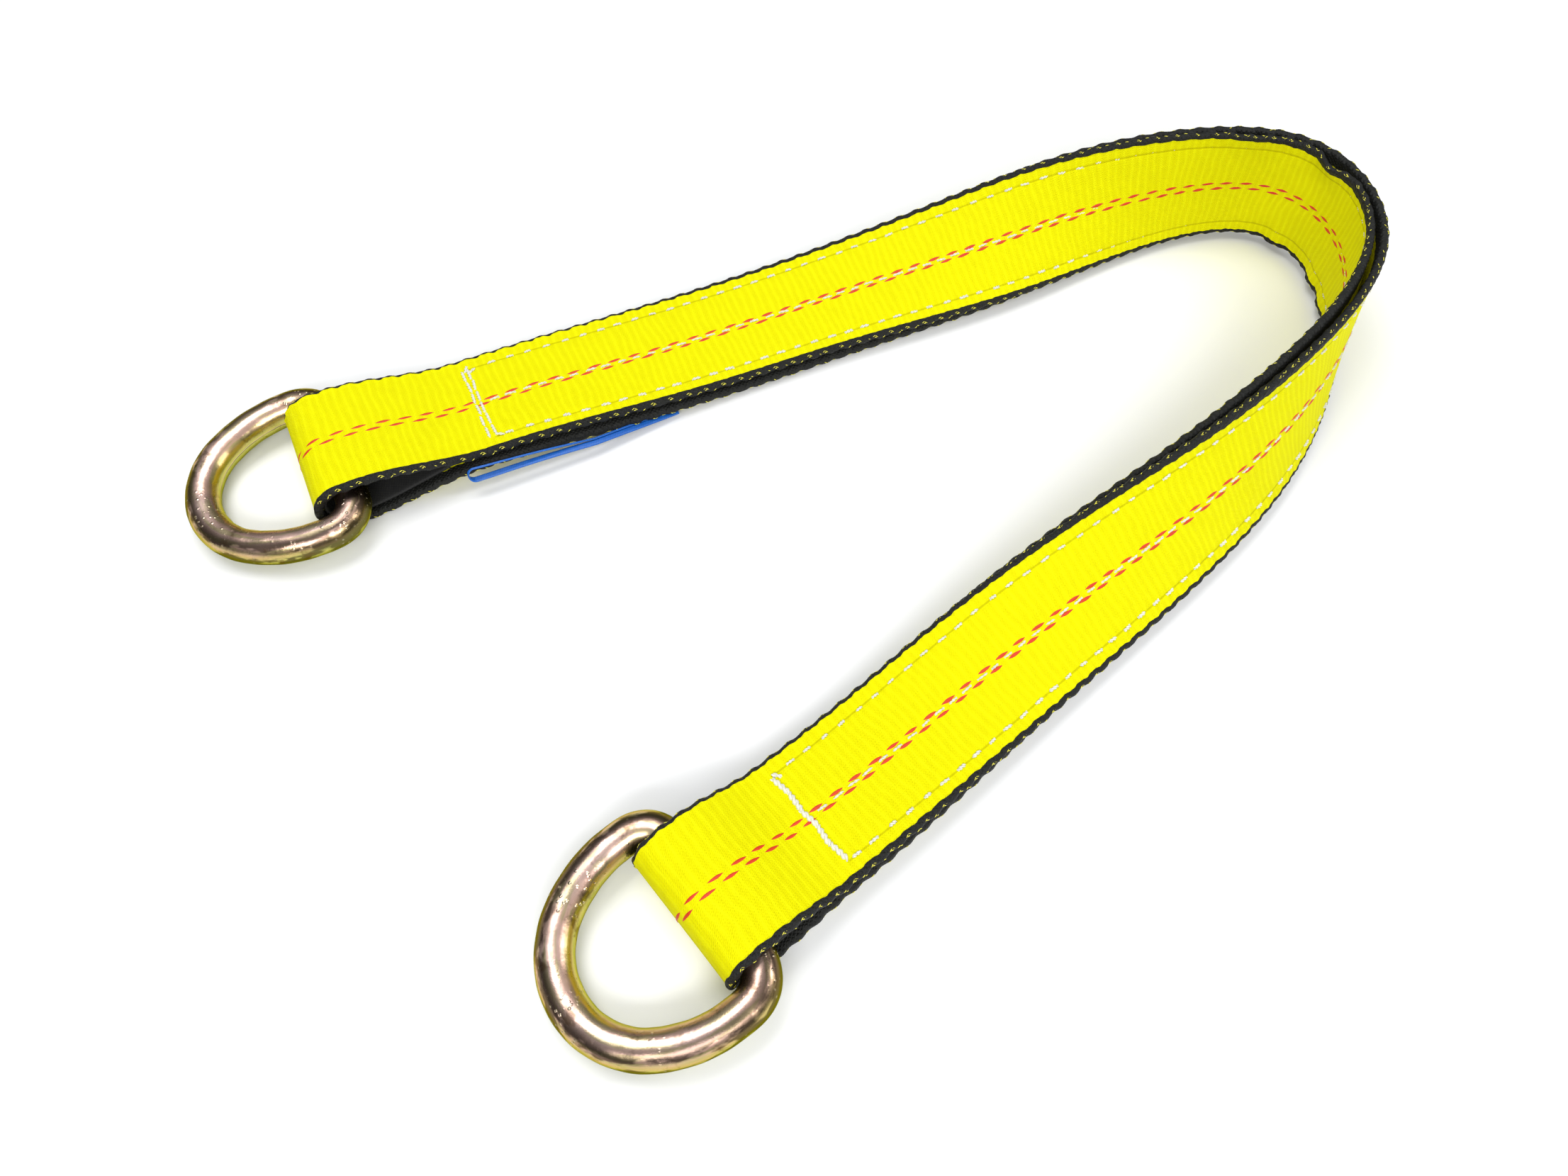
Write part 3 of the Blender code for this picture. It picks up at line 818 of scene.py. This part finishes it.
def lining(side, material):
    """Woven wear lining round the inside of an eye."""
    far = side == "far"
    flex = FAR_EYE_FLEX if far else NEAR_EYE_FLEX
    path = eye_inset(flex, LINING_INSET, LINING / 2 + LINING_GAP)
    steps = np.concatenate([[0.0], np.cumsum(np.linalg.norm(np.diff(path, axis=0), axis=1))])
    run = np.linspace(0.0, steps[-1], int(steps[-1] / LINING_STEP))
    inward = np.interp(run, steps, path[:, 0])
    level = np.interp(run, steps, path[:, 1])
    tilt = np.arctan2(np.gradient(level), np.gradient(inward))
    s = inward if far else STRAP - inward
    edge = LINING_HALF_WIDTH - np.array([0.0, 0.2, 0.8, 2.0, 10.0, 18.0])
    columns = np.concatenate([-edge, edge[::-1]])
    thick = LINING / 2 - np.array([0.5, 0.2, 0.03, 0.0, 0.0, 0.0])
    half = np.concatenate([thick, thick[::-1]])
    across = np.concatenate([columns, columns[::-1]])
    height = np.concatenate([half, -half[::-1]])
    centre, along, width, face = (part[:, None, :] for part in strap_frames(s))
    forward = along if far else -along
    normal = face * np.cos(tilt)[:, None, None] - forward * np.sin(tilt)[:, None, None]
    ripple = 0.05 * wave(run, 2.1)[:, None] * np.sign(height)[None, :]
    points = (centre + face * level[:, None, None] + width * across[None, :, None]
              + normal * (height[None, :] + ripple)[..., None]) * MM
    rows, count = points.shape[:2]
    quads = grid_faces(rows, count)
    flat, caps, _ = close_ends(points.reshape(-1, 3), rows, count, (far, not far))
    quads = quads if far else quads[:, ::-1]
    obj = mesh_object(f"{side}_eye_wear_lining", flat, [quads] + caps, material)
    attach(obj, f"{side}_eye")
    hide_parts(f"{side}_eye_lining")


def ring_path():
    """Centre line of the D-ring in its plane: bar along X at Y = 0, crown towards +Y."""
    x, y, heading = 0.0, 0.0, 0.0
    half = [(x, y)]
    for radius, turn, steps in RING_ARCS:
        centre_x = x - radius * math.sin(heading)
        centre_y = y + radius * math.cos(heading)
        for k in range(1, steps + 1):
            angle = heading + math.radians(turn) * k / steps
            half.append((centre_x + radius * math.sin(angle),
                         centre_y - radius * math.cos(angle)))
        heading += math.radians(turn)
        x, y = half[-1]
    bar = -x
    right = [(px + bar, py) for px, py in half]
    straight = [(bar * k / 12, 0.0) for k in range(-11, 12)]
    left = [(-px, py) for px, py in reversed(right[:-1])]
    return np.array(straight + right + left)


def ring_place(side, crown):
    """Middle of the bar, direction from the bar to the crown, and direction of the bar."""
    far = side == "far"
    centre, along, across, _ = (part[0] for part in strap_frames(np.array([0.0 if far else STRAP])))
    yaw = math.radians(RING_YAW[side])
    swing = np.array([[math.cos(yaw), -math.sin(yaw), 0.0],
                      [math.sin(yaw), math.cos(yaw), 0.0],
                      [0.0, 0.0, 1.0]])
    flat = np.array([1.0, 1.0, 0.0])
    bar_axis = unit(across * flat)
    outward = -along if far else along
    bar = centre + bar_axis * RING_SHIFT[side] + outward * RING_PULL[side]
    level = swing @ unit(outward * flat)
    base = ORIGIN[2] + ROUTE[0, 2] - EYE_RADIUS - PLY / 2
    drop = (bar[2] - ROD_RADIUS - base - RING_CLEARANCE) / crown
    reach_axis = unit(level * math.sqrt(1.0 - drop * drop) - np.array([0.0, 0.0, drop]))
    return bar, reach_axis, swing @ bar_axis


def ring(side, material):
    """Round rod bent into a D, with the small unevenness of bent and plated bar."""
    path = ring_path()
    steps = np.linalg.norm(np.roll(path, -1, axis=0) - path, axis=1)
    reach = np.concatenate([[0.0], np.cumsum(steps)[:-1]])
    total = steps.sum()
    even = np.linspace(0.0, total, RING_STEPS, endpoint=False)
    x = np.interp(even, np.append(reach, total), np.append(path[:, 0], path[0, 0]))
    y = np.interp(even, np.append(reach, total), np.append(path[:, 1], path[0, 1]))
    centre = np.stack([x, y, np.zeros(len(x))], axis=1)
    tangent = unit(np.roll(centre, -1, axis=0) - np.roll(centre, 1, axis=0))
    inward = np.stack([-tangent[:, 1], tangent[:, 0], np.zeros(len(x))], axis=1)
    around = np.linspace(0.0, 2 * math.pi, RING_SIDES, endpoint=False)
    seed = 0.0 if side == "far" else 2.1
    phase = even / total * 2 * math.pi
    uneven = (0.05 * np.sin(5 * phase[:, None] + 2 * around[None, :] + seed)
              + 0.035 * np.sin(11 * phase[:, None] - 3 * around[None, :] + 2 * seed)
              + 0.03 * np.sin(23 * phase[:, None] + around[None, :]))
    radius = ROD_RADIUS - RING_SKIN + uneven
    local = (centre[:, None, :] + inward[:, None, :] * (radius * np.cos(around))[..., None]
             + np.array([0.0, 0.0, 1.0]) * (radius * np.sin(around))[..., None])
    bar, reach_axis, bar_axis = ring_place(side, float(path[:, 1].max()))
    turn = np.stack([bar_axis, reach_axis, np.cross(bar_axis, reach_axis)])
    points = (local @ turn + bar) * MM
    rows, count = points.shape[:2]
    quads = grid_faces(rows, count, closed_rows=True)
    attributes = {
        "turn": np.tile(around / (2 * math.pi), rows),
        "reach": np.repeat(even / total, count),
    }
    obj = mesh_object(f"{side}_d_ring_rod", points.reshape(-1, 3), [quads], material,
                      attributes=attributes)
    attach(obj, f"{side}_ring")
    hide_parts(f"{side}_d_ring")


def outer_height(across):
    """Height of a ply's outward face above its middle surface."""
    return PLY / 2 - (SELVEDGE_RISE if abs(across) < HALF_WIDTH - SELVEDGE else 0.0)


FAR_BEND = station_length(FAR_BEND_STATION)
NEAR_BEND = station_length(NEAR_BEND_STATION)
SPANS = (
    {"name": "far_end", "start": FIRST_RUN, "end": FAR_CUT, "bodies": ("far_eye", "far_leg"),
     "joint": FAR_EYE_FLEX, "ease": 8.0, "stretch": "far_leg"},
    {"name": "far_bend", "start": FAR_CUT, "end": BEND_CUT, "bodies": ("far_leg", "bend"),
     "joint": FAR_BEND, "ease": 20.0, "stretch": "bend"},
    {"name": "near_bend", "start": BEND_CUT, "end": NEAR_CUT, "bodies": ("bend", "near_leg"),
     "joint": NEAR_BEND, "ease": 20.0, "stretch": "bend"},
    {"name": "near_end", "start": NEAR_CUT, "end": LAST_RUN, "bodies": ("near_leg", "near_eye"),
     "joint": STRAP - NEAR_EYE_FLEX, "ease": 8.0, "stretch": "near_leg"},
)
LANE_NAMES = {1: "inner", -1: "outer"}
PLIES = [(span, lane, lane_name) for span in SPANS for lane, lane_name in LANE_NAMES.items()]


def carry(obj):
    """Bake a piece's placement into its mesh."""
    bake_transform(obj)


def build_webbing(material):
    """Make the webbing of each span."""
    for span in SPANS:
        name = span["name"]
        if name.endswith("_end"):
            eye, leg = sorted(span["bodies"])
            cut = span["end"] if name == "far_end" else span["start"]
            tip = span["start"] if name == "far_end" else span["end"]
            obj = web_piece(f"{name}_webbing", (1, -1), cut, tip, material)
            carry(obj)
            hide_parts(f"{eye}_webbing", f"{leg}_inner_ply", f"{leg}_outer_ply")
        else:
            for lane, lane_name in LANE_NAMES.items():
                obj = web_piece(f"{name}_{lane_name}_ply", (lane,), span["start"], span["end"],
                                material)
                carry(obj)
                leg = "far_leg" if name == "far_bend" else "near_leg"
                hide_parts(f"bend_{lane_name}_ply", f"{leg}_{lane_name}_ply")


def spread(start, end, pitch, phase):
    """Even positions inside a span, at whole steps of a pitch so that spans join up."""
    first = math.ceil((start - phase) / pitch)
    last = math.floor((end - phase) / pitch)
    return [phase + k * pitch for k in range(first, last + 1)
            if start <= phase + k * pitch < end]


def build_tracers(material, rng):
    """Make the two rows of coloured marker floats down the middle of each face."""
    for span, lane, lane_name in PLIES:
        items = []
        for across, phase in ((TRACER_OFFSET, 0.0), (-TRACER_OFFSET, 4.7)):
            for run in spread(span["start"], span["end"], TRACER_PITCH, phase):
                items.append((run + rng.uniform(-0.3, 0.3), across + rng.uniform(-0.1, 0.1),
                              rng.uniform(6.0, 6.8), rng.uniform(1.35, 1.55), 0.26, 0.06,
                              outer_height(0.0) + 0.02))
        obj = floats(f"{span['name']}_{lane_name}_tracers", lane, items, material)
        carry(obj)


def build_flecks(material, rng):
    """Make the yellow binder floats along the black selvedges, on the faces and the sides."""
    for span, lane, lane_name in PLIES:
        items = []
        for side in (-1.0, 1.0):
            start = 0.9 * side + 2.2 * lane
            for run in spread(span["start"], span["end"], SCALLOP_PITCH, start):
                run += rng.uniform(-0.4, 0.4)
                lean = rng.uniform(0.75, 1.0)
                items.append((run, side, lean, 1.3, 0.32, 0.20))
                items.append((run + 1.2, side, lean - 0.1, 1.2, 0.32, -0.22))
                items.append((run + 0.7, side, lean - 0.38, rng.uniform(0.8, 1.3), 0.34, 0.1))
                if rng.random() < 0.7:
                    items.append((run + 4.3, side, rng.uniform(-0.2, 0.3), 1.2, 0.36, 0.24))
                if rng.random() < 0.5:
                    items.append((run + 5.4, side, rng.uniform(0.3, 0.6), 1.1, 0.32, -0.2))
        obj = side_floats(f"{span['name']}_{lane_name}_flecks", lane, items, material)
        carry(obj)


def build_stitches(material, rng):
    """Make the lengthwise seams on both faces of the sewn part."""
    sewn_start = FAR_CROSS + SEWN_MARGIN
    sewn_end = STRAP - NEAR_CROSS_INSET - SEWN_MARGIN
    for span, lane, lane_name in PLIES:
        start = max(span["start"], sewn_start)
        end = min(span["end"], sewn_end)
        items = []
        for across, pitch, length, radius in (
                (SEAM_OFFSET, SEAM_PITCH, 3.3, 0.28), (0.0, CENTRE_PITCH, 4.2, 0.24),
                (-SEAM_OFFSET, SEAM_PITCH, 3.6, 0.33)):
            for run in spread(start, end, pitch, 1.3 + 0.1 * across):
                sunk = SINK_DEPTH * math.exp(-((run - SINK_MIDDLE) / SINK_REACH) ** 4)
                sunk = sunk if lane > 0 else 0.0
                items.append((run + rng.uniform(-0.4, 0.4), across + rng.uniform(-0.25, 0.25),
                              length * rng.uniform(0.8, 1.15),
                              rng.uniform(-0.10, 0.10), radius * rng.uniform(0.9, 1.15), 1.3,
                              outer_height(across) - sunk))
        obj = stitches(f"{span['name']}_{lane_name}_seams", lane, items, material)
        carry(obj)
        replaced = {"far_end": ("far_leg",), "far_bend": ("bend",), "near_bend": (),
                    "near_end": ("near_leg",)}[span["name"]]
        for stretch in replaced:
            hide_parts(f"{stretch}_top_edge_stitching", f"{stretch}_centre_stitching",
                        f"{stretch}_low_edge_stitching")


def build_cross_rows(material, rng):
    """Make the heavy rows across the strap below each eye, on both faces."""
    for lane, lane_name in LANE_NAMES.items():
        items = []
        for offset, phase in ((-FAR_CROSS_GAP, 0.0), (FAR_CROSS_GAP, 0.35)):
            for k in range(FAR_CROSS_COUNT):
                across = -SEAM_OFFSET + FAR_CROSS_PITCH * (k + 0.5 + 0.3 * phase)
                items.append((FAR_CROSS + offset + rng.uniform(-0.3, 0.3), across,
                              5.8 * rng.uniform(0.9, 1.1),
                              math.pi / 2 + rng.uniform(-0.12, 0.12), 0.36, 2.0,
                              outer_height(across) + 0.05))
        for along, across, heading in ((2.6, 17.0, 0.5), (0.6, 18.6, 1.1), (2.8, -18.0, -0.4)):
            items.append((FAR_CROSS + along, across, 3.6, heading, 0.32, 1.2,
                          outer_height(across) + 0.1))
        obj = stitches(f"far_{lane_name}_cross_row", lane, items, material)
        carry(obj)
        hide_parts("far_cross_stitching")
        items = []
        for k in range(NEAR_CROSS_COUNT):
            across = NEAR_CROSS_TOP - NEAR_CROSS_PITCH * (k + 0.5)
            zigzag = 0.13 if k % 2 else -0.13
            items.append((STRAP - NEAR_CROSS_INSET + rng.uniform(-0.2, 0.2), across, 8.2,
                          math.pi / 2 + zigzag + rng.uniform(-0.05, 0.05), 0.62, 2.0,
                          outer_height(across) + 0.08))
        items.append((STRAP - NEAR_CROSS_INSET - 1.4, 17.6, 3.6, 0.9, 0.42, 0.9,
                      outer_height(17.6) + 0.1))
        obj = stitches(f"near_{lane_name}_cross_row", lane, items, material)
        carry(obj)
        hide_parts("near_cross_stitching")


def build_label(material):
    """Make the label: a narrow hairpin whose two ends go under the outer ply."""
    run = np.linspace(LABEL_END, LABEL_START, 120)
    radius = (LABEL_TOP_LEVEL - LABEL_LOW_LEVEL) / 2
    turn = np.linspace(0.0, math.pi, 25)[1:-1]
    path_s = np.concatenate([run, LABEL_START - radius * np.sin(turn), run[::-1]])
    path_level = np.concatenate([
        np.interp(run, (LABEL_START, LABEL_TUCK), (LABEL_TOP_LEVEL, LABEL_TUCKED_LEVEL)),
        LABEL_TOP_LEVEL - radius * (1 - np.cos(turn)),
        np.interp(run[::-1], (LABEL_START, LABEL_END), (LABEL_LOW_LEVEL, LABEL_LOW_END_LEVEL))])
    shift = slip(path_s) + np.interp(path_s, (LABEL_TUCK, LABEL_END),
                                     (LABEL_ACROSS, LABEL_END_ACROSS))
    tilt = np.unwrap(np.arctan2(np.gradient(path_level), np.gradient(path_s)))
    columns = np.linspace(-1.0, 1.0, 7)
    upper = np.clip((path_level - LABEL_LOW_LEVEL) / (LABEL_TOP_LEVEL - LABEL_LOW_LEVEL), 0.0, 1.0)
    upper[:len(run)] = 1.0
    upper[-len(run):] = 0.0
    reach = LABEL_LOW_HALF_WIDTH + (LABEL_TOP_HALF_WIDTH - LABEL_LOW_HALF_WIDTH) * upper
    across = np.concatenate([columns, columns[::-1]])[None, :] * reach[:, None]
    across = across - LABEL_HALF_WIDTH + LABEL_LOW_HALF_WIDTH + 1.3 * upper[:, None]
    half = LABEL_THICKNESS / 2 * np.array([0.5, 1.0, 1.0, 1.0, 1.0, 1.0, 0.5])
    height = np.concatenate([half, -half])
    centre, along, width, face = (part[:, None, :] for part in strap_frames(path_s))
    normal = face * np.cos(tilt)[:, None, None] - along * np.sin(tilt)[:, None, None]
    points = (centre + face * path_level[:, None, None]
              + width * (shift[:, None] + across)[..., None]
              + normal * height[None, :, None]) * MM
    rows, count = points.shape[:2]
    quads = grid_faces(rows, count)
    flat, caps, rims = close_ends(points.reshape(-1, 3), rows, count, (False, True))
    obj = mesh_object("folded_label", flat, [quads] + caps, material, rims=rims)
    carry(obj)
    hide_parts("identification_label")


# ---- Camera, light and floor ----

def make_camera():
    """Put the camera where the strap was looked at from."""
    data = bpy.data.cameras.new("camera")
    data.sensor_width = SENSOR
    data.lens = LENS
    camera = bpy.data.objects.new("camera", data)
    bpy.context.scene.collection.objects.link(camera)
    elevation = math.radians(CAMERA_ELEVATION)
    spot = Vector((0.0, -math.cos(elevation), math.sin(elevation))) * CAMERA_DISTANCE
    turn = (Matrix.Rotation(math.pi / 2 - elevation, 4, 'X')
            @ Matrix.Rotation(math.radians(CAMERA_TURN), 4, 'Z'))
    camera.matrix_world = Matrix.Translation((spot + Vector(ORIGIN)) * MM) @ turn
    bpy.context.scene.camera = camera


def area_light(name, location, size, power):
    """Make a soft rectangular light that faces the object."""
    data = bpy.data.lights.new(name, 'AREA')
    data.shape = 'RECTANGLE'
    data.size, data.size_y = size
    data.energy = power
    light = bpy.data.objects.new(name, data)
    light.location = location
    light.rotation_euler = (-Vector(location)).to_track_quat('-Z', 'Y').to_euler()
    bpy.context.scene.collection.objects.link(light)


def make_stage():
    """Pale plain floor, studio lights and a soft world."""
    n = Nodes("pale_floor")
    floor_material = n.finish(n.mix(n.noise(3.0), (0.86, 0.86, 0.86), (0.89, 0.89, 0.89)), 0.9)
    corners = np.array([(-1, -1, 0), (1, -1, 0), (1, 1, 0), (-1, 1, 0)]) * FLOOR_REACH
    floor = mesh_object("floor", corners, [np.array([[0, 1, 2, 3]])], floor_material)
    for light in LIGHTS:
        area_light(*light)
    world = bpy.data.worlds.new("world")
    world.use_nodes = True
    tree = world.node_tree
    direction = tree.nodes.new("ShaderNodeTexCoord").outputs["Generated"]
    parts = tree.nodes.new("ShaderNodeSeparateXYZ")
    tree.links.new(direction, parts.inputs[0])
    ramp = tree.nodes.new("ShaderNodeValToRGB")
    band = ramp.color_ramp
    while len(band.elements) < len(WORLD_STOPS):
        band.elements.new(0.5)
    for element, (height, shade) in zip(band.elements, WORLD_STOPS):
        element.position = height
        element.color = (0.95 * shade, 0.98 * shade, shade, 1.0)
    tree.links.new(parts.outputs["Z"], ramp.inputs[0])
    tree.links.new(ramp.outputs[0], tree.nodes["Background"].inputs[0])
    tree.nodes["Background"].inputs[1].default_value = WORLD_STRENGTH
    bpy.context.scene.world = world
    bpy.context.scene.view_settings.view_transform = 'Standard'


def main():
    """Build the strap's looks."""
    make_camera()
    make_stage()
    rng = np.random.default_rng(7)
    webbing = webbing_material()
    zinc = zinc_material()
    cloth = {name: cloth_material(name, *looks) for name, looks in CLOTHS.items()}
    ring("far", zinc)
    ring("near", zinc)
    build_webbing(webbing)
    lining("far", cloth["black_lining"])
    lining("near", cloth["black_lining"])
    build_label(cloth["blue_label"])
    build_tracers(cloth["red_tracer"], rng)
    build_flecks(cloth["yellow_fleck"], rng)
    build_stitches(cloth["white_thread"], rng)
    build_cross_rows(cloth["white_thread"], rng)


main()
